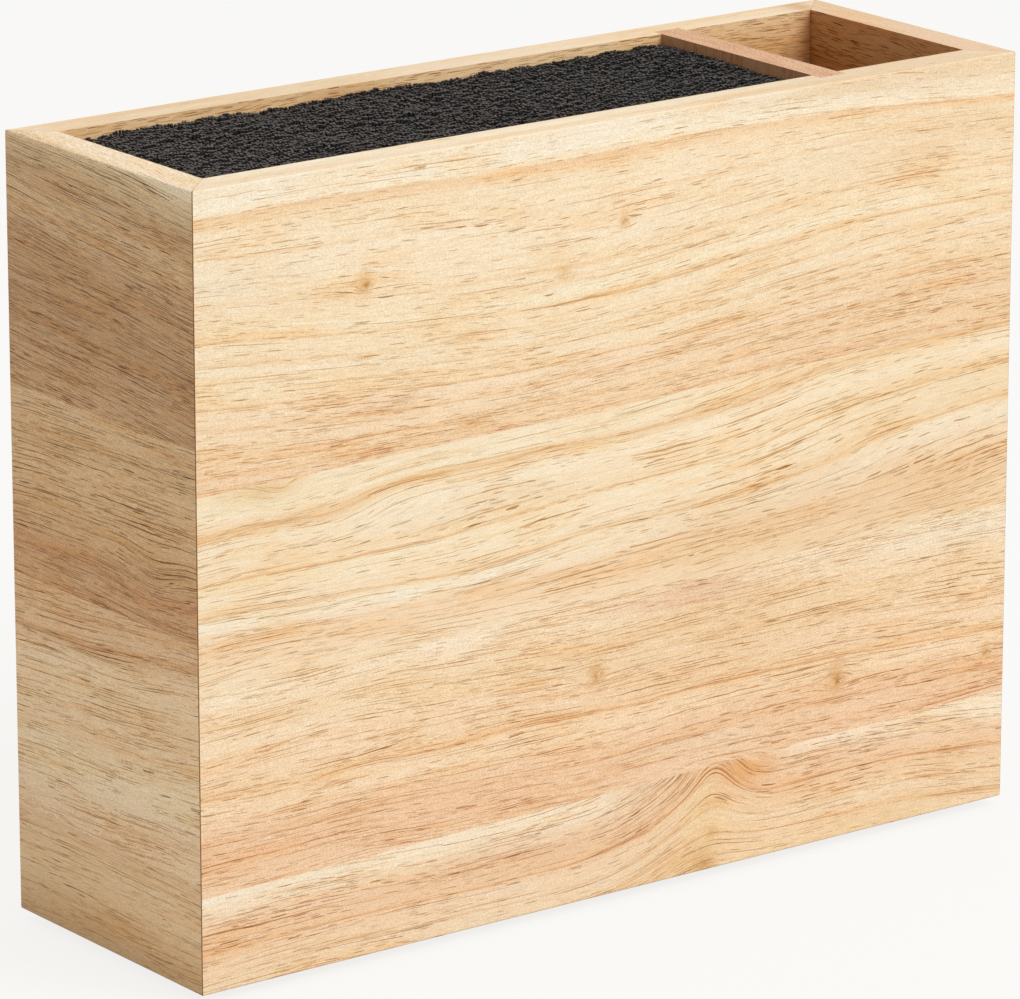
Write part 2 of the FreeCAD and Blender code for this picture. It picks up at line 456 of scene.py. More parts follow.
def sanded(tree, colour, spot, fibres, drift, rough):
    """The fine tooth that sanding leaves. Its darker side is browner too."""
    tooth = cloud(tree, stretched(tree, spot, SANDING, drift), 1.0, 0.5)
    swing = SANDING_DEPTH * rough
    shade = between(tree, fibres, 0.25, 0.75, 1.0 - 0.5 * swing, 1.0 + 0.5 * swing)
    shade = reckon(tree, "MULTIPLY", shade, between(tree, tooth, 0.25, 0.75, 1.0 - swing, 1.0 + swing))
    brown = place(tree, shade, reckon(tree, "POWER", shade, 1.27), reckon(tree, "POWER", shade, 1.7))
    return dye(tree, 1.0, colour, brown, "MULTIPLY")


RIM_WOOD = (0.965, 0.95, 0.945, 1.0)
GLUE = stain(140, 88, 44)
SEAM_HALF = 0.00012
SEAM_SOFT = 0.00035
SKIN = 0.0004
UNDER_SKIN = 0.001


def glued_up(tree, colour, across, depth):
    """The rim, a little duller than the face, and the dark glue line along the mitres."""
    colour = dye(tree, on_rim(tree, across), colour, RIM_WOOD, "MULTIPLY")
    x, y = parted(tree, object_spot(tree))[:2]
    off = reckon(tree, "SUBTRACT", reckon(tree, "ABSOLUTE", x), reckon(tree, "ABSOLUTE", y))
    off = reckon(tree, "ABSOLUTE", reckon(tree, "SUBTRACT", off, CASE_HALF_LENGTH - CASE_HALF_DEPTH))
    seam = between(tree, off, SEAM_HALF, SEAM_SOFT, 1.0, 0.0, smooth=True)
    seam = reckon(tree, "MULTIPLY", seam, between(tree, depth, SKIN, UNDER_SKIN, 0.95, 0.28))
    return dye(tree, seam, colour, GLUE)


OPEN_PORES = (120.0, 2500.0)
OPEN_PORE_INK = stain(160, 108, 50)


def painted_inside_shade(tree, colour, fibre_spot, depth, seed, inside):
    """The face inside the box, made browner with painted shade for the light the walls keep
    from it, and with open pores.
    """
    inner = reckon(tree, "GREATER_THAN", depth, WALL - HAIR_BREADTH)
    colour = dye(tree, inner, colour, inside, "MULTIPLY")
    share = reckon(tree, "MULTIPLY", inner, 0.6)
    pores = dashes(tree, fibre_spot, OPEN_PORES, seed + 0.53, share, 0.42)
    return dye(tree, pores, colour, OPEN_PORE_INK, "MULTIPLY")


def coated(tree, colour, roughness, relief, strength, distance):
    """Joins a colour, a roughness and a fine relief to the surface of a finish."""
    surface = tree.nodes["Principled BSDF"]
    tree.links.new(colour, surface.inputs["Base Color"])
    tree.links.new(roughness, surface.inputs["Roughness"])
    bump = tree.nodes.new("ShaderNodeBump")
    bump.inputs["Strength"].default_value = strength
    bump.inputs["Distance"].default_value = distance
    tree.links.new(relief, bump.inputs["Height"])
    tree.links.new(bump.outputs["Normal"], surface.inputs["Normal"])


LONG_PATCHES = (22.0, 150.0, 0.0)
FIBRES = (160.0, 2600.0, 0.0)
LINE_PORES = 0.35
RIM_PORES = 0.15
KNOT_PORES = 0.9
OIL_GLOSS = 0.2


def rubberwood(
    name, panel, seed, rings, lines=(), pores=0.5, longs=0.5, slope=0.0, wander=5.0,
    bends=(), pins=(), blushes=(), crowds=(), ink=PORE_INK, rough=1.0, inside=None,
):
    """The finish of one stave. Heights, places and reaches are in millimetres, as a maker
    would mark them on the board. rings gives the colours from edge to edge and pores how
    many pores there are, either as one number or at several heights. longs is how many hair
    lines there are, crowds are places with more pores or fewer, and ink is their stain."""
    wood = bpy.data.materials.new(name)
    wood.use_nodes = True
    tree = wood.node_tree
    along, across, depth = board_axes(tree, panel)
    spot = place(tree, along, across, depth)
    drift = (seed * 3.71, seed * 1.93, seed * 2.57)
    ring = bent_rings(tree, along, across, depth, drift, slope, wander, bends)
    ring, smudges, hearts = pinned(tree, ring, spot, pins)
    ring = feathered(tree, ring, along, drift)
    fibre_spot = place(tree, along, ring, 0.0)
    patches = cloud(tree, stretched(tree, fibre_spot, LONG_PATCHES, drift), 4.0, 0.62, flat=True)
    fibres = cloud(tree, stretched(tree, fibre_spot, FIBRES, drift), 2.0, 0.7, flat=True)

    colour = plain_wood(tree, ring, fibre_spot, patches, drift, rings)
    colour = blushed(tree, colour, spot, fibre_spot, drift, blushes)
    if isinstance(pores, float):
        pores = [(rings[0][0], pores), (rings[-1][0], pores)]
    rich = ramp(tree, ring, [(height, grey(level)) for height, level in pores])
    rich = reckon(tree, "MULTIPLY", rich, between(tree, patches, 0.35, 0.65, 0.2, 1.8))
    if lines:
        colour, glow = ring_lines(tree, colour, ring, fibre_spot, drift, lines)
        rich = reckon(tree, "MULTIPLY_ADD", glow, LINE_PORES, rich)
    if panel in PANELS:
        rich = reckon(tree, "MULTIPLY", rich, on_rim(tree, across, 1.0, RIM_PORES))
    for smudge in smudges:
        rich = reckon(tree, "MULTIPLY_ADD", smudge, KNOT_PORES, rich)
    for at, reach, times in crowds:
        crowd = between(tree, hump(tree, spot, at, reach)[0], 0.0, 0.8, 1.0, times)
        rich = reckon(tree, "MULTIPLY", rich, crowd)
    colour, grooves = pored(tree, colour, fibre_spot, seed, rich, longs, ink)
    colour = knotted(tree, colour, spot, drift, smudges, hearts)
    colour = sanded(tree, colour, spot, fibres, drift, rough)
    if panel in PANELS:
        colour = glued_up(tree, colour, across, depth)
    # Painted shade on the faces inside the box.
    if inside:
        colour = painted_inside_shade(tree, colour, fibre_spot, depth, seed, inside)
    oiled = between(tree, fibres, 0.3, 0.7, 0.50, 0.62)
    relief = reckon(tree, "MULTIPLY_ADD", grooves, -1.0, reckon(tree, "MULTIPLY", fibres, 0.25))
    coated(tree, colour, oiled, relief, 0.3, 0.0002)
    tree.nodes["Principled BSDF"].inputs["Specular IOR Level"].default_value = OIL_GLOSS
    return wood


def finish_node(name, finish):
    """Gives a part of the case its finish in place of the plain one it came with."""
    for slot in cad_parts[name].material_slots:
        slot.material = finish


CREAM = stain(243, 226, 197)
TAN = stain(240, 214, 176)
HONEY = stain(239, 207, 166)
ORANGE = stain(237, 199, 154)
PINK = stain(234, 191, 151)
# Painted shade for the faces inside the box, multiplied into their colour.
INSIDE_SHADE = stain(225, 200, 175)

finish_node("front_stave_top", rubberwood(
    "front_top_wood", "front", 1.0,
    rings=[
        (156, PINK), (165, stain(237, 202, 163)), (170, stain(239, 206, 166)),
        (175, stain(239, 209, 171)), (181, stain(239, 209, 171)), (184, stain(240, 210, 173)),
        (190, TAN), (198, stain(240, 216, 180)), (206, TAN), (211, stain(241, 221, 187)), (214, TAN),
        (222, stain(240, 214, 177)), (228, stain(241, 217, 182)), (235, stain(241, 218, 184)),
        (241, TAN), (244, ORANGE), (246, CREAM), (253, stain(240, 222, 194)), (257, TAN), (260, CREAM),
        (266, stain(242, 222, 190)),
    ],
    lines=[
        (167, 0.5), (173, 0.6), (180, 0.6), (187, 0.7), (195, 0.6), (201, 0.4), (208, 1.0), (219, 0.35),
        (233, 0.35), (245, 0.8),
    ],
    pores=[(156, 1.0), (180, 0.95), (190, 0.6), (206, 0.4), (240, 0.4), (253, 0.35), (266, 0.2)],
    longs=0.45,
    wander=3.0,
    bends=[((-25, 196), (105, 34), -9.0), ((165, 247), (70, 13), -9.0)],
    pins=[((-96.4, 215.5), 1.6), ((1.5, 220.5), 1.2)],
    blushes=[
        ((125, 229), (60, 9), stain(238, 205, 162), 0.6),
        ((118, 252), (70, 5), stain(234, 203, 160), 0.8),
        ((135, 253), (48, 8), stain(240, 213, 175), 0.85),
        ((125, 176), (80, 22), ORANGE, 0.45),
        ((-150, 222), (24, 7), CREAM, 0.6),
        ((-22, 208), (4, 2.2), stain(226, 178, 118), 0.8),
        ((-57, 194), (5, 1), stain(226, 172, 112), 0.8),
        ((-98, 193), (4, 1), stain(224, 174, 112), 0.7),
        ((-56, 166), (6, 3), stain(228, 180, 122), 0.7),
        ((-84, 176), (9, 3), stain(230, 182, 132), 0.6),
    ],
    rough=0.9,
    inside=INSIDE_SHADE,
))
finish_node("front_stave_upper", rubberwood(
    "front_upper_wood", "front", 2.0,
    rings=[
        (95, TAN), (103, stain(241, 213, 176)), (108, stain(240, 208, 169)),
        (112, stain(239, 207, 168)), (115, stain(240, 213, 178)), (119, CREAM), (122, TAN),
        (127, stain(242, 218, 183)), (131, stain(242, 219, 182)), (135, stain(241, 214, 176)),
        (139, stain(243, 221, 187)), (143, stain(242, 218, 182)), (146, stain(234, 198, 152)),
        (149, stain(240, 212, 173)), (151, stain(242, 221, 187)), (155, stain(240, 217, 180)),
        (162, stain(241, 217, 181)), (175, CREAM),
    ],
    lines=[(113.4, 0.45), (122.3, 0.75), (132.3, 0.8), (146.5, 0.45)],
    pores=[(95, 0.6), (115, 0.45), (130, 0.35), (145, 0.5), (150, 0.3), (175, 0.3)],
    longs=1.0,
    ink=stain(184, 144, 78),
    rough=0.85,
    slope=0.012,
    bends=[
        ((-45, 150), (55, 12), 4.5),
        ((200, 150), (170, 38), 20.0),
        ((-128, 158), (9, 7), -4.0),
        ((-112, 146), (20, 9), -2.5),
        ((-84, 150), (16, 8), 1.6),
    ],
    blushes=[
        ((130, 146), (45, 14), stain(239, 207, 160), 0.5),
        ((42, 112), (40, 14), stain(238, 202, 154), 0.6),
        ((128, 116), (66, 14), ORANGE, 0.75),
        ((-136, 157.5), (13, 3), stain(230, 192, 134), 0.6),
        ((-60, 140), (50, 6), CREAM, 0.5),
    ],
    inside=INSIDE_SHADE,
))
finish_node("front_stave_lower", rubberwood(
    "front_lower_wood", "front", 3.0,
    rings=[
        (28, PINK), (36, stain(238, 200, 161)), (40, stain(236, 195, 155)), (45, stain(236, 195, 156)),
        (51, stain(235, 195, 155)), (55, stain(238, 200, 160)), (57.5, stain(241, 209, 170)),
        (60, stain(241, 207, 167)), (64, stain(238, 204, 163)), (70, stain(241, 208, 170)),
        (78, stain(240, 210, 171)), (84, HONEY), (90, stain(241, 212, 174)), (94, stain(242, 217, 183)),
        (99, stain(242, 217, 183)), (105, TAN), (116, TAN),
    ],
    lines=[(44, 0.4), (50, 0.5), (62.3, 0.85)],
    pores=[(28, 0.6), (60, 0.55), (112, 0.55)],
    longs=1.1,
    pins=[((-8.3, 76.3), 1.9), ((88.7, 56.3), 2.4), ((151.7, 53.8), 1.2)],
    bends=[((-95, 82), (45, 14), 2.5)],
    blushes=[
        ((40, 46), (38, 7), stain(243, 213, 178), 0.9),
        ((40, 85), (38, 20), stain(238, 199, 150), 0.45),
        ((27, 96.5), (26, 4), stain(233, 186, 148), 0.9),
        ((135, 98), (38, 7), CREAM, 0.6),
        ((60, 80), (90, 16), ORANGE, 0.35),
    ],
    crowds=[((40, 47), (40, 8), 0.6)],
    ink=stain(184, 140, 78),
    rough=1.15,
    inside=INSIDE_SHADE,
))
finish_node("front_stave_bottom", rubberwood(
    "front_bottom_wood", "front", 4.0,
    rings=[
        (-28, stain(237, 199, 152)), (-14, stain(240, 206, 162)), (-6, stain(240, 208, 166)),
        (1, stain(240, 209, 171)), (7, stain(239, 209, 171)), (12, stain(238, 203, 163)),
        (16, stain(236, 198, 158)), (20, stain(236, 197, 157)), (23, stain(238, 202, 164)),
        (26, stain(241, 213, 179)), (30, stain(243, 221, 189)), (44, stain(243, 221, 189)),
    ],
    lines=[(1.5, 0.7), (8, 0.5), (16, 0.8)],
    pores=[(-28, 0.35), (0, 0.35), (14, 0.7), (26, 0.7), (32, 0.45), (44, 0.4)],
    bends=[((38.5, 42), (12, 20), 9.0), ((32, 20), (22, 34), 7.0), ((75, 20), (75, 70), 9.0)],
    blushes=[
        ((8, 35), (15, 6), stain(236, 198, 158), 0.9),
        ((-40, 10), (50, 6), stain(246, 222, 190), 1.0),
        ((-40, 24), (45, 6), stain(235, 192, 150), 0.7),
        ((118, 9), (42, 5), stain(236, 196, 144), 0.6),
        ((34, 20), (10, 13), stain(243, 211, 161), 0.7),
        ((53, 34), (13, 5.5), stain(232, 172, 108), 1.0),
        ((34, 5.5), (5, 4.5), stain(206, 152, 82), 0.7),
        ((41, 25.5), (6, 1.6), stain(222, 172, 110), 0.6),
        ((38, 15), (3, 2), stain(224, 178, 116), 0.6),
        ((138, 23), (8, 4), ORANGE, 0.6),
        ((22, 8), (16, 5), stain(232, 186, 128), 0.5),
    ],
    crowds=[
        ((36, 19), (15, 12), 0.1),
        ((26, 33), (9, 5), 1.7),
        ((102, 32), (26, 4), 1.8),
        ((62, 22), (16, 8), 0.5),
        ((-40, 10), (42, 7), 0.5),
    ],
    longs=0.8,
    ink=stain(162, 108, 32),
    inside=INSIDE_SHADE,
))


# Back panel
# Four more staves of the same wood, in other widths, with the plainest
# figure to the rear. Inside the box its face is darkened with painted shade, less than the others' as it
# faces the lamp.

BACK_INSIDE_SHADE = stain(254, 236, 212)

finish_node("back_stave_top", rubberwood(
    "back_top_wood", "back", 5.0,
    rings=[
        (164, HONEY), (174, TAN), (183, ORANGE), (190, HONEY), (199, CREAM), (207, TAN),
        (216, stain(241, 218, 184)), (224, HONEY), (231, TAN), (239, CREAM), (246, TAN),
        (253, stain(238, 213, 177)), (257, TAN), (260, stain(241, 219, 186)),
        (268, stain(241, 219, 186)),
    ],
    lines=[(182, 0.5), (206, 0.45), (230, 0.4), (245, 0.45)],
    pores=[(164, 0.7), (200, 0.5), (252, 0.45), (268, 0.2)],
    bends=[((60, 205), (90, 40), 8.0)],
    pins=[((-62, 214), 1.7)],
    blushes=[
        # The next two patches are painted shade: the back wall darker deep in the right compartment, and
        # a dark streak down its inner corner.
        ((122, 236), (28, 8), stain(218, 172, 114), 0.85),
        ((147, 241), (5, 28), stain(206, 152, 92), 0.7),
        ((-42, 248), (14, 5), stain(214, 170, 118), 0.6),
        ((0, 256), (60, 4), stain(234, 208, 174), 0.6),
        ((-120, 185), (60, 12), ORANGE, 0.5),
        ((-100, 258), (50, 8), stain(230, 196, 150), 0.85),
    ],
    inside=BACK_INSIDE_SHADE,
))
finish_node("back_stave_upper", rubberwood(
    "back_upper_wood", "back", 6.0,
    rings=[
        (108, ORANGE), (116, HONEY), (123, PINK), (130, ORANGE), (138, TAN), (147, HONEY), (155, CREAM),
        (163, TAN), (174, HONEY), (184, TAN),
    ],
    lines=[(122, 0.5), (137, 0.35), (154, 0.5)],
    pores=[(108, 0.8), (140, 0.6), (184, 0.5)],
    slope=-0.02,
    bends=[((-90, 140), (70, 30), -6.0)],
    blushes=[((100, 122), (60, 12), PINK, 0.5)],
    inside=BACK_INSIDE_SHADE,
))
finish_node("back_stave_lower", rubberwood(
    "back_lower_wood", "back", 7.0,
    rings=[
        (40, TAN), (50, CREAM), (58, TAN), (66, HONEY), (74, TAN), (83, CREAM), (91, TAN), (100, HONEY),
        (108, TAN), (124, CREAM),
    ],
    lines=[(57, 0.5), (73, 0.4), (90, 0.5), (99, 0.35)],
    pores=[(40, 0.5), (80, 0.4), (124, 0.55)],
    slope=0.015,
    pins=[((70, 84), 1.5), ((-118, 66), 1.3)],
    inside=BACK_INSIDE_SHADE,
))
finish_node("back_stave_bottom", rubberwood(
    "back_bottom_wood", "back", 8.0,
    rings=[
        (-8, HONEY), (3, ORANGE), (10, PINK), (17, ORANGE), (24, HONEY), (32, TAN), (39, HONEY),
        (48, TAN), (60, HONEY),
    ],
    lines=[(9, 0.45), (23, 0.5), (38, 0.4)],
    pores=[(-8, 0.7), (60, 0.6)],
    bends=[((-40, 20), (80, 30), 7.0)],
    inside=BACK_INSIDE_SHADE,
))


# Left panel
# A browner set of staves. The top stave is darker and streaked with long pores;
# part of its darkness is painted shade, for the dimmer light high on this side.

TOAST = stain(203, 160, 116)
WALNUT_TINT = stain(197, 153, 109)
BISCUIT = stain(224, 184, 137)
OAT = stain(243, 207, 162)

# Its colours are partly painted shade, set darker and browner for the dimmer light high on this side.
finish_node("left_stave_top", rubberwood(
    "left_top_wood", "left", 9.0,
    rings=[
        (168, stain(209, 164, 119)), (178, stain(209, 165, 120)), (184, stain(207, 163, 118)),
        (191, TOAST), (196, WALNUT_TINT), (202, WALNUT_TINT), (206, TOAST), (212, stain(202, 160, 115)),
        (221, TOAST), (226, stain(214, 173, 128)), (231, stain(219, 179, 132)),
        (236, stain(215, 175, 129)), (241, stain(207, 167, 123)), (245, stain(214, 178, 133)),
        (251, stain(225, 192, 148)), (254, stain(238, 212, 174)), (257, stain(240, 216, 181)),
        (262, stain(240, 217, 182)), (268, stain(240, 215, 178)),
    ],
    lines=[(187, 0.35), (195, 0.35), (202, 0.35), (209, 0.3), (217, 0.3), (243, 0.3)],
    pores=[(168, 1.0), (225, 0.9), (238, 0.6), (251, 0.5), (254, 0.1), (268, 0.08)],
    longs=3.4,
    ink=stain(118, 80, 0),
    rough=2.0,
    slope=0.085,
    wander=3.0,
    inside=INSIDE_SHADE,
))
finish_node("left_stave_upper", rubberwood(
    "left_upper_wood", "left", 10.0,
    rings=[
        (106, stain(216, 166, 118)), (116, stain(216, 166, 118)), (121, stain(219, 172, 124)),
        (126, stain(212, 162, 116)), (131, stain(215, 167, 119)), (136, stain(220, 175, 125)),
        (146, stain(223, 181, 132)), (156, stain(228, 187, 139)), (161, stain(220, 179, 130)),
        (166, BISCUIT), (171, stain(226, 186, 139)), (184, BISCUIT),
    ],
    lines=[(119, 0.35), (127, 0.35), (139, 0.3), (164, 0.35)],
    pores=[(106, 0.9), (132, 0.8), (140, 0.5), (184, 0.5)],
    longs=2.1,
    ink=stain(124, 84, 5),
    rough=1.5,
    slope=-0.01,
    wander=4.0,
    bends=[((-27, 132), (14, 10), -2.5), ((-32, 122), (36, 12), -3.5)],
    blushes=[((-27, 131), (9, 6), stain(206, 155, 104), 0.5)],
    inside=INSIDE_SHADE,
))
finish_node("left_stave_lower", rubberwood(
    "left_lower_wood", "left", 11.0,
    rings=[
        (32, OAT), (41, stain(242, 206, 164)), (46, stain(241, 206, 163)), (51, stain(244, 211, 170)),
        (56, stain(246, 215, 172)), (61, stain(247, 217, 173)), (71, stain(244, 207, 161)), (80, OAT),
        (88, stain(245, 209, 163)), (96, stain(245, 209, 165)), (101, stain(226, 183, 138)),
        (103, stain(235, 193, 148)), (110, stain(231, 189, 142)), (124, stain(231, 189, 142)),
    ],
    lines=[(45, 0.3), (70, 0.25), (79, 0.3), (100.8, 0.8), (108, 0.4)],
    pores=[(32, 0.45), (50, 0.35), (70, 0.45), (124, 0.55)],
    longs=1.6,
    ink=stain(152, 112, 40),
    rough=1.4,
    slope=-0.055,
    wander=4.0,
    inside=INSIDE_SHADE,
))
finish_node("left_stave_bottom", rubberwood(
    "left_bottom_wood", "left", 12.0,
    rings=[
        (-4, stain(203, 163, 118)), (4, stain(210, 170, 124)), (11, stain(225, 185, 137)),
        (21, stain(237, 200, 153)), (31, stain(237, 201, 156)), (36, stain(233, 193, 148)), (50, OAT),
    ],
    lines=[(13, 0.35), (22, 0.3), (33, 0.45)],
    pores=[(-4, 0.35), (50, 0.45)],
    longs=1.2,
    ink=stain(160, 124, 68),
    rough=1.2,
    wander=3.0,
    inside=INSIDE_SHADE,
))


# Right panel
# Brown staves again, with long falling lines; inside the compartment this
# board shows its rear face, darkened with painted shade as it faces away from the lamp.

RIGHT_INSIDE_SHADE = stain(205, 173, 135)

finish_node("right_stave_top", rubberwood(
    "right_top_wood", "right", 13.0,
    rings=[
        (172, BISCUIT), (182, TOAST), (190, stain(214, 172, 127)), (199, TOAST), (207, BISCUIT),
        (214, TOAST), (223, stain(216, 176, 130)), (231, TOAST), (239, stain(214, 174, 128)),
        (246, BISCUIT), (252, stain(228, 194, 154)), (257, stain(231, 197, 160)),
        (262, stain(231, 195, 158)), (269, stain(232, 198, 160)),
    ],
    lines=[(189, 0.5), (198, 0.6), (208, 0.5), (221, 0.55), (229, 0.6), (238, 0.5), (247, 0.5)],
    pores=[(172, 0.9), (240, 0.85), (252, 0.4), (257, 0.15), (269, 0.15)],
    slope=0.05,
    wander=4.0,
    inside=RIGHT_INSIDE_SHADE,
))
finish_node("right_stave_upper", rubberwood(
    "right_upper_wood", "right", 14.0,
    rings=[
        (98, HONEY), (107, BISCUIT), (116, HONEY), (126, OAT), (135, HONEY), (145, BISCUIT),
        (156, TOAST), (166, BISCUIT), (176, HONEY), (190, HONEY),
    ],
    lines=[(115, 0.5), (134, 0.4), (155, 0.5), (170, 0.4)],
    pores=[(98, 0.6), (190, 0.7)],
    slope=0.02,
    inside=RIGHT_INSIDE_SHADE,
))
finish_node("right_stave_lower", rubberwood(
    "right_lower_wood", "right", 15.0,
    rings=[
        (54, OAT), (62, TAN), (70, OAT), (79, CREAM), (88, TAN), (96, HONEY), (104, OAT), (113, TAN),
        (122, OAT),
    ],
    lines=[(69, 0.5), (87, 0.4), (103, 0.5)],
    pores=[(54, 0.5), (122, 0.5)],
    slope=-0.03,
    pins=[((18, 84), 1.5)],
    inside=RIGHT_INSIDE_SHADE,
))
finish_node("right_stave_bottom", rubberwood(
    "right_bottom_wood", "right", 16.0,
    rings=[
        (-6, BISCUIT), (4, HONEY), (13, PINK), (22, HONEY), (31, BISCUIT), (40, HONEY), (50, TAN),
        (60, HONEY), (72, OAT),
    ],
    lines=[(12, 0.5), (30, 0.4), (49, 0.4)],
    pores=[(-6, 0.7), (72, 0.5)],
    inside=RIGHT_INSIDE_SHADE,
))


# Mitre tongues
# A strip of plain hardwood glued in a groove across each mitre, hidden once
# the panels close on it.

CORNERS = ("front_left", "front_right", "back_left", "back_right")

tongue_wood = rubberwood(
    "tongue_wood", "upright", 17.0,
    rings=[
        (-60, HONEY), (-40, BISCUIT), (-20, HONEY), (0, BISCUIT), (20, HONEY), (40, BISCUIT),
        (60, HONEY),
    ],
    pores=0.5,
)
for corner in CORNERS:
    finish_node("mitre_tongue_" + corner, tongue_wood)


# Divider
# A pinkish board with its grain upright, housed in the front and back
# panels. Its top is end grain: small round pores between fine rays.

RUSSET = stain(168, 122, 85)
END_RINGS = (260.0, 60.0, 0.0)
END_RAYS = (1900.0, 260.0, 0.0)
END_PORES = (900.0, 900.0, 0.0)
END_GRAIN_DARK = stain(219, 166, 126)
END_GRAIN_LIGHT = stain(233, 187, 147)
END_GRAIN_RAY = stain(244, 214, 180)
END_GRAIN_PORE = stain(128, 78, 48)


def end_grain(tree):
    """The colour of a sawn end: rings, rays across them, and round pores."""
    spot = object_spot(tree)
    growth = cloud(tree, stretched(tree, spot, END_RINGS, (4.0, 2.0, 0.0)), 3.0, 0.6, flat=True)
    colour = dye(tree, between(tree, growth, 0.3, 0.7), END_GRAIN_DARK, END_GRAIN_LIGHT)
    rays = cloud(tree, stretched(tree, spot, END_RAYS), 2.0, 0.6, flat=True)
    colour = dye(tree, between(tree, rays, 0.55, 0.8, 0.0, 0.5), colour, END_GRAIN_RAY)
    holes = tree.nodes.new("ShaderNodeTexVoronoi")
    holes.voronoi_dimensions = "2D"
    holes.inputs["Scale"].default_value = 1.0
    tree.links.new(stretched(tree, spot, END_PORES), holes.inputs["Vector"])
    pores = between(tree, holes.outputs["Distance"], 0.08, 0.30, 0.7, 0.0)
    return dye(tree, pores, colour, END_GRAIN_PORE)


divider_wood = rubberwood(
    "divider_upright_wood", "upright", 18.0,
    rings=[
        (-60, RUSSET), (-44, stain(166, 116, 82)), (-31, RUSSET),
        (-20, stain(160, 110, 77)), (-8, RUSSET), (4, stain(164, 115, 80)),
        (15, RUSSET), (27, stain(160, 111, 78)), (40, RUSSET),
        (60, RUSSET),
    ],
    lines=[(-40, 0.5), (-22, 0.5), (-5, 0.5), (12, 0.5), (29, 0.5)],
    pores=0.8,
)
tree = divider_wood.node_tree
painted = tree.nodes["Principled BSDF"].inputs["Base Color"]
upward = parted(tree, tree.nodes.new("ShaderNodeNewGeometry").outputs["Normal"])[2]
on_end = reckon(tree, "GREATER_THAN", reckon(tree, "ABSOLUTE", upward), 0.7)
tree.links.new(dye(tree, on_end, painted.links[0].from_socket, end_grain(tree)), painted)
finish_node("divider", divider_wood)


# Base
# A flat board let into a rebate round the foot of the panels, with its grain
# along the box.

base_wood = rubberwood(
    "base_board_wood", "base", 19.0,
    rings=[
        (-60, HONEY), (-48, TAN), (-33, HONEY), (-20, CREAM), (-6, TAN), (9, ORANGE), (22, TAN),
        (37, CREAM), (49, HONEY), (62, TAN),
    ],
    lines=[(-34, 0.4), (-7, 0.5), (21, 0.4), (48, 0.4)],
    pores=0.55,
)
finish_node("base", base_wood)


# Feet
# Four moulded rubber feet whose stems are pressed up into the base. Rubber
# this soft is matt and picks up a little dust in patches.

RUBBER = stain(46, 45, 44)
DUST = stain(72, 69, 66)
RUBBER_SKIN = (900.0, 900.0, 900.0)
DUST_PATCHES = (140.0, 140.0, 500.0)

foot_rubber = bpy.data.materials.new("foot_rubber_black")
foot_rubber.use_nodes = True
tree = foot_rubber.node_tree
spot = object_spot(tree)
skin = cloud(tree, stretched(tree, spot, RUBBER_SKIN), 3.0, 0.6)
dust = cloud(tree, stretched(tree, spot, DUST_PATCHES), 3.0, 0.6)
dusty = dye(tree, between(tree, dust, 0.45, 0.75, 0.0, 0.5), RUBBER, DUST)
coated(tree, dusty, between(tree, skin, 0.3, 0.7, 0.72, 0.88), skin, 0.3, 0.0002)
for corner in CORNERS:
    finish_node("foot_" + corner, foot_rubber)


# Tray
# The lift-out insert stands in a black moulded tray with a fine spark-eroded
# grain, parted by ribs into a cell for each bundle.

PLASTIC = stain(38, 38, 39)
RUBBED_PLASTIC = stain(58, 58, 60)
SPARK_GRAIN = (2600.0, 2600.0, 2600.0)
RUBBED_PATCHES = (90.0, 90.0, 160.0)

tray_plastic = bpy.data.materials.new("tray_plastic_black")
tray_plastic.use_nodes = True
tree = tray_plastic.node_tree
spot = object_spot(tree)
spark = cloud(tree, stretched(tree, spot, SPARK_GRAIN), 2.0, 0.7)
rub = cloud(tree, stretched(tree, spot, RUBBED_PATCHES), 4.0, 0.65)
rubbed = dye(tree, between(tree, rub, 0.5, 0.8, 0.0, 0.5), PLASTIC, RUBBED_PLASTIC)
coated(tree, rubbed, between(tree, rub, 0.3, 0.7, 0.42, 0.58), spark, 0.25, 0.0001)
finish_node("insert_tray", tray_plastic)


# Bristle bundles
# Several hundred stiff black nylon bristles each, fused together at the foot
# that stands in its cell. They spread from there to fill the box to its
# walls, and their cut tips lie a little unevenly below the rim.

BRISTLE_RADIUS = 0.00052
BRISTLE_PITCH = 0.0011
ROW_PITCH = 0.00165
SIDE_INSET = BRISTLE_RADIUS + 0.0001
FOOT_HEIGHT = 0.0045
FOOT_ROUNDING = 0.0007
FOOT_GAP = 0.00015
SPILL = 0.0005
KERB = 0.0016
HALF_RIB = 0.0008
SUNK_IN_FOOT = 0.001
SIDE_BLACK, SIDE_GREY = stain(18, 15, 13), stain(42, 38, 35)
CUT_BLACK, CUT_GREY = stain(20, 17, 15), stain(88, 80, 74)
NYLON_SCUFFS = (2400.0, 2400.0, 500.0)

tray_low, tray_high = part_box("insert_tray")
low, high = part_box("bristle_bundle_front_1")
ROOT = low.z + FOOT_HEIGHT - SUNK_IN_FOOT
TIP = high.z

bristle_nylon = bpy.data.materials.new("bristle_nylon_black")
bristle_nylon.use_nodes = True
tree = bristle_nylon.node_tree
# The shade attribute holds each bristle's own tone together with its painted shade.
tone_and_painted_shade = tree.nodes.new("ShaderNodeAttribute")
tone_and_painted_shade.attribute_name = "shade"
cut_end = tree.nodes.new("ShaderNodeAttribute")
cut_end.attribute_name = "cut_end"
side_tone = dye(tree, tone_and_painted_shade.outputs["Fac"], SIDE_BLACK, SIDE_GREY)
cut_tone = dye(tree, tone_and_painted_shade.outputs["Fac"], CUT_BLACK, CUT_GREY)
nylon = dye(tree, cut_end.outputs["Fac"], side_tone, cut_tone)
scuff = cloud(tree, stretched(tree, object_spot(tree), NYLON_SCUFFS), 2.0, 0.6)
coated(tree, nylon, between(tree, scuff, 0.3, 0.7, 0.38, 0.6), scuff, 0.4, 0.0001)

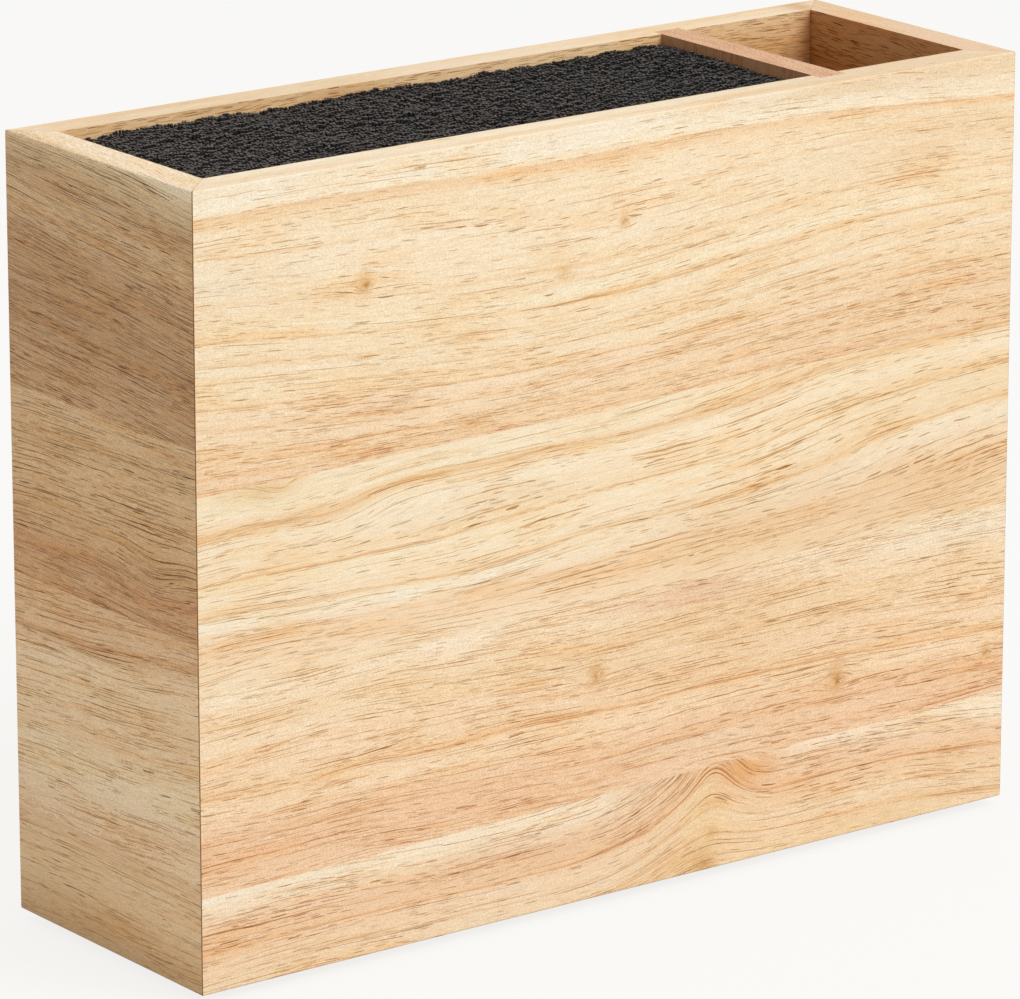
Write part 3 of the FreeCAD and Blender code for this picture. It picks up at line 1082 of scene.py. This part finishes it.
# One bristle, as it comes off the reel: six-sided, a metre long, with a ring
# inside its cut end that the copies raise a little.
CUT_FROM = 0.999
CUT_RING = 0.35 * BRISTLE_RADIUS
BENDS_AT = (0.3, 0.6, 0.85)
bpy.ops.mesh.primitive_cylinder_add(vertices=6, radius=BRISTLE_RADIUS, depth=1.0, location=(0, 0, 0.5))
bristle = bpy.context.object
bristle.name = "bristle_sample"
bpy.ops.object.transform_apply(location=True, rotation=True, scale=True)
bpy.ops.object.mode_set(mode="EDIT")
for height in BENDS_AT:
    bpy.ops.mesh.select_all(action="SELECT")
    bpy.ops.mesh.bisect(plane_co=(0, 0, height), plane_no=(0, 0, 1))
bpy.ops.mesh.select_all(action="DESELECT")
bpy.ops.object.mode_set(mode="OBJECT")
for face in bristle.data.polygons:
    face.select = face.center.z > CUT_FROM
bpy.ops.object.mode_set(mode="EDIT")
bpy.ops.mesh.select_mode(type="FACE")
bpy.ops.mesh.inset(thickness=CUT_RING, depth=0.0)
bpy.ops.object.mode_set(mode="OBJECT")
bpy.ops.object.shade_smooth_by_angle(angle=math.radians(65))
rod = np.array([v.co for v in bristle.data.vertices], float)
cut_points = rod[:, 2] > CUT_FROM
within_ring = np.hypot(rod[:, 0], rod[:, 1]) < BRISTLE_RADIUS - CUT_RING / 2
domed_points = cut_points & within_ring
cut_faces = np.array([float(face.center.z > CUT_FROM) for face in bristle.data.polygons])

SPLAY = 1.15
BOW = 0.0005
RAGGED = 0.10
ASKEW = 0.14
DOME = 0.00012


def mark_faces(piece, name, values):
    marks = piece.data.attributes.new(name, "FLOAT", "FACE")
    marks.data.foreach_set("value", values.astype(np.float32))


def bristle_copy(foot_at, tip_at, tip_height, shade):
    """One bristle of a bundle, bowed on its way from its place in the foot to its place at
    the top, where its cut is a little ragged and askew."""
    piece = bristle.copy()
    piece.data = bristle.data.copy()
    rise = rod[:, 2]
    spread = rise ** SPLAY
    turn = random.uniform(0, math.tau)
    bow = random.gauss(0, BOW) * np.sin(rise * math.pi)
    cos, sin = math.cos(turn), math.sin(turn)
    ragged = 1.0 + np.array([random.gauss(0, RAGGED) for _ in rod]) * cut_points
    x = (rod[:, 0] * cos - rod[:, 1] * sin) * ragged + bow * cos
    x += foot_at[0] + (tip_at[0] - foot_at[0]) * spread
    y = (rod[:, 0] * sin + rod[:, 1] * cos) * ragged + bow * sin
    y += foot_at[1] + (tip_at[1] - foot_at[1]) * spread
    askew = rod[:, 0] * random.gauss(0, ASKEW) + rod[:, 1] * random.gauss(0, ASKEW)
    z = ROOT + (tip_height - ROOT) * rise + askew * cut_points + DOME * domed_points
    piece.data.vertices.foreach_set("co", np.stack([x, y, z], 1).ravel())
    mark_faces(piece, "shade", np.full(len(cut_faces), shade))
    mark_faces(piece, "cut_end", cut_faces)
    bpy.context.collection.objects.link(piece)
    return piece


SWAYS = 220
TUFTS_ALONG, TUFTS_ACROSS = 300, 640
SWELLS = 45
SWAY_ALONG, SWAY_ACROSS = 0.0006, 0.0008
TUFT_PUSH = 0.0006
TUFT_RISE = 0.0011
SWELL_RISE = 0.0008
STRAY = 0.00012
UNEVEN = 0.00006
BELOW_TOP = 0.0001
PAINTED_SHADE_EVEN_AT = -0.02
PAINTED_SHADE_SLOPE = 2.2


def tip(x, y):
    """Where a bristle's tip comes to lie among its neighbours: its place, its height, and
    how pale its cut is. That paleness carries painted shade: darker where the tip lies low
    among its neighbours, paler towards the left end and darker towards the divider."""
    sway = noise.noise_vector(Vector((x * SWAYS, y * SWAYS, 3.7)))
    tuft = noise.noise_vector(Vector((x * TUFTS_ALONG, y * TUFTS_ACROSS, 9.1)))
    x += sway.x * SWAY_ALONG + random.gauss(0, STRAY)
    y += sway.y * SWAY_ACROSS + tuft.y * TUFT_PUSH + random.gauss(0, STRAY)
    x = min(max(x, tray_low.x + SIDE_INSET), tray_high.x - SIDE_INSET)
    y = min(max(y, tray_low.y + SIDE_INSET), tray_high.y - SIDE_INSET)
    swell = noise.noise(Vector((x * SWELLS, y * SWELLS, 1.3)))
    height = TIP - BELOW_TOP + swell * SWELL_RISE + tuft.z * TUFT_RISE + random.gauss(0, UNEVEN)
    # Painted light and shade: paler towards the left end, darker towards the divider, and darker for tips
    # that lie low.
    painted_shade_along = (PAINTED_SHADE_EVEN_AT - x) * PAINTED_SHADE_SLOPE
    shade = 0.5 + painted_shade_along + tuft.z * 1.1 + random.gauss(0, 0.12)
    return (x, y), height, min(max(shade, 0.0), 1.0)


def foot_side(bundle_side, tray_side, inward):
    """Where a bundle's foot ends: a gap short of the tray's kerb, or clear of half a rib."""
    if abs(bundle_side - tray_side) < KERB / 2:
        return tray_side + inward * (KERB + FOOT_GAP)
    return bundle_side + inward * HALF_RIB


def fused_foot(name, corner, width, depth):
    """The block that a bundle's bristles are fused into, from its left front corner."""
    middle = corner + Vector((width, depth, FOOT_HEIGHT)) / 2
    bpy.ops.mesh.primitive_cube_add(size=1.0, location=middle, scale=(width, depth, FOOT_HEIGHT))
    foot = bpy.context.object
    foot.name = name
    bpy.ops.object.transform_apply(location=True, rotation=True, scale=True)
    bpy.ops.object.mode_set(mode="EDIT")
    bpy.ops.mesh.bevel(offset=FOOT_ROUNDING, segments=2)
    bpy.ops.object.mode_set(mode="OBJECT")
    mark_faces(foot, "shade", np.full(len(foot.data.polygons), 0.3))
    mark_faces(foot, "cut_end", np.zeros(len(foot.data.polygons)))
    return foot


def tip_side(bundle_side, tray_side, inward):
    """Where a row of tips ends: at the wall, or spilling a little into the next bundle, so
    that the bundles close up at the top."""
    if abs(bundle_side - tray_side) < KERB / 2:
        return bundle_side + inward * SIDE_INSET
    return bundle_side + inward * (SIDE_INSET - SPILL)


def bundle(name, node):
    """A bundle whose tips fill the box of its CAD node, in rows set half a pitch apart."""
    low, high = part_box(node)
    left, right = tip_side(low.x, tray_low.x, 1), tip_side(high.x, tray_high.x, -1)
    foot_left, foot_right = foot_side(low.x, tray_low.x, 1), foot_side(high.x, tray_high.x, -1)
    foot_front, foot_back = foot_side(low.y, tray_low.y, 1), foot_side(high.y, tray_high.y, -1)
    foot_width, foot_depth = foot_right - foot_left, foot_back - foot_front
    foot = fused_foot(name, Vector((foot_left, foot_front, low.z)), foot_width, foot_depth)
    rows = int((high.y - low.y - 2 * SIDE_INSET) / ROW_PITCH) + 1
    row_step = (high.y - low.y - 2 * SIDE_INSET) / (rows - 1)
    columns = int((high.x - low.x - 2 * SIDE_INSET) / BRISTLE_PITCH) + 1
    column_step = (right - left) / (columns - 0.5)
    bpy.ops.object.select_all(action="DESELECT")
    foot.select_set(True)
    for row in range(rows):
        for column in range(columns):
            x = left + (column + row % 2 / 2) * column_step
            y = low.y + SIDE_INSET + row * row_step
            share_x = (x - low.x) / (high.x - low.x)
            share_y = (y - low.y) / (high.y - low.y)
            foot_x = foot_left + SIDE_INSET + share_x * (foot_width - 2 * SIDE_INSET)
            foot_y = foot_front + SIDE_INSET + share_y * (foot_depth - 2 * SIDE_INSET)
            bristle_copy((foot_x, foot_y), *tip(x, y)).select_set(True)
    bpy.context.view_layer.objects.active = foot
    bpy.ops.object.join()
    foot.data.materials.clear()
    foot.data.materials.append(bristle_nylon)
    foot.select_set(False)
    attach(foot, "bristle_insert")
    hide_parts(node)


random.seed(20)
noise.seed_set(20)
for row in ("front", "back"):
    for column in range(1, 7):
        bundle(f"bristles_{row}_{column}", f"bristle_bundle_{row}_{column}")
bpy.data.objects.remove(bristle)
